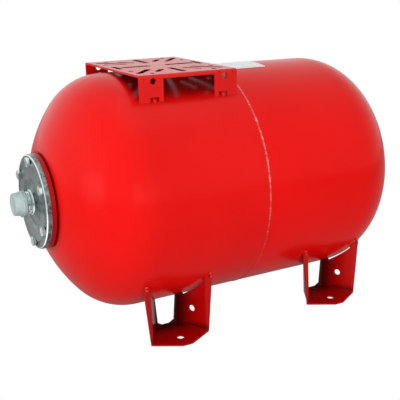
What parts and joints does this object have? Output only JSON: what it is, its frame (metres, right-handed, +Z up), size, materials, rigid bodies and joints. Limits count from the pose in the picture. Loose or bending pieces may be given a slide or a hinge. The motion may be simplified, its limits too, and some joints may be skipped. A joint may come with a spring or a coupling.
{
  "type": "horizontal pressure expansion vessel",
  "caption": "Horizontal steel expansion vessel on pressed feet, with slotted pump platform, screwed water flange with capped threaded nipple, inner rubber bladder and rear air valve.",
  "frame": {"origin": "centre of the four floor holes, on the floor plane under the soles of the feet", "axes": "+Z up; X along the tank with the water connection at -X and the air valve at +X; Y across the tank, the near feet at -Y"},
  "size_m": [0.6747, 0.3614, 0.3881],
  "materials": {
    "tank_enamel": "gloss enamel",
    "platform_enamel": "gloss enamel",
    "foot_enamel": "gloss enamel",
    "flange_zinc": "galvanised",
    "hub_zinc": "bright zinc",
    "nipple_steel": "zinc plated",
    "screw_zinc": "zinc plated",
    "cap_plastic": "translucent",
    "bladder_rubber": "matt",
    "label_film": "matt",
    "valve_brass": "machined",
    "spring_steel": "bright",
    "valve_cap_plastic": "matt",
    "seal_rubber": "matt",
    "cover_plastic": "satin"
  },
  "bodies": {
    "tank": {"shell_front": "tank_enamel", "shell_rear": "tank_enamel", "girth_weld": "tank_enamel", "neck_ring": "tank_enamel", "valve_boss": "tank_enamel", "pump_platform": "platform_enamel", "platform_welds": "platform_enamel", "foot_front_near": "foot_enamel", "foot_front_far": "foot_enamel", "foot_rear_near": "foot_enamel", "foot_rear_far": "foot_enamel", "flange_plate": "flange_zinc", "hub_collar": "hub_zinc", "water_nipple": "nipple_steel", "flange_screws": "screw_zinc", "bladder": "bladder_rubber", "rating_label": "label_film", "valve_stem": "valve_brass", "valve_core": "valve_brass", "valve_spring": "spring_steel"},
    "cap": {"thread_cap": "cap_plastic"},
    "cover": {"valve_cover": "cover_plastic"},
    "cap_seal": {"valve_cap_seal": "seal_rubber"},
    "screw_cap": {"valve_cap": "valve_cap_plastic"},
    "pin": {"valve_pin": "valve_brass"}
  },
  "joints": [
    {"name": "cap_pull", "type": "slide", "parent": "tank", "child": "cap", "axis": [-1, 0, 0], "range_m": [0, 0.03]},
    {"name": "cover_pull", "type": "slide", "parent": "tank", "child": "cover", "axis": [1, 0, 0], "range_m": [0, 0.045]},
    {"name": "screw_cap_travel", "type": "slide", "parent": "tank", "child": "cap_seal", "axis": [1, 0, 0], "range_m": [0, 0.00952]},
    {"name": "screw_cap_turn", "type": "hinge", "parent": "cap_seal", "child": "screw_cap", "pos_m": [0.317, 0, 0.202], "axis": [1, 0, 0], "range_deg": [0, 4320]},
    {"name": "pin_press", "type": "slide", "parent": "tank", "child": "pin", "axis": [-1, 0, 0], "range_m": [0, 0.0015], "stiffness_N_per_m": 1500, "springref_m": -0.0008, "deforming": ["valve_spring"]}
  ],
  "couplings": [
    {"joint": "screw_cap_turn", "follows": "screw_cap_travel", "rad_per_m": 7913.3}
  ]
}
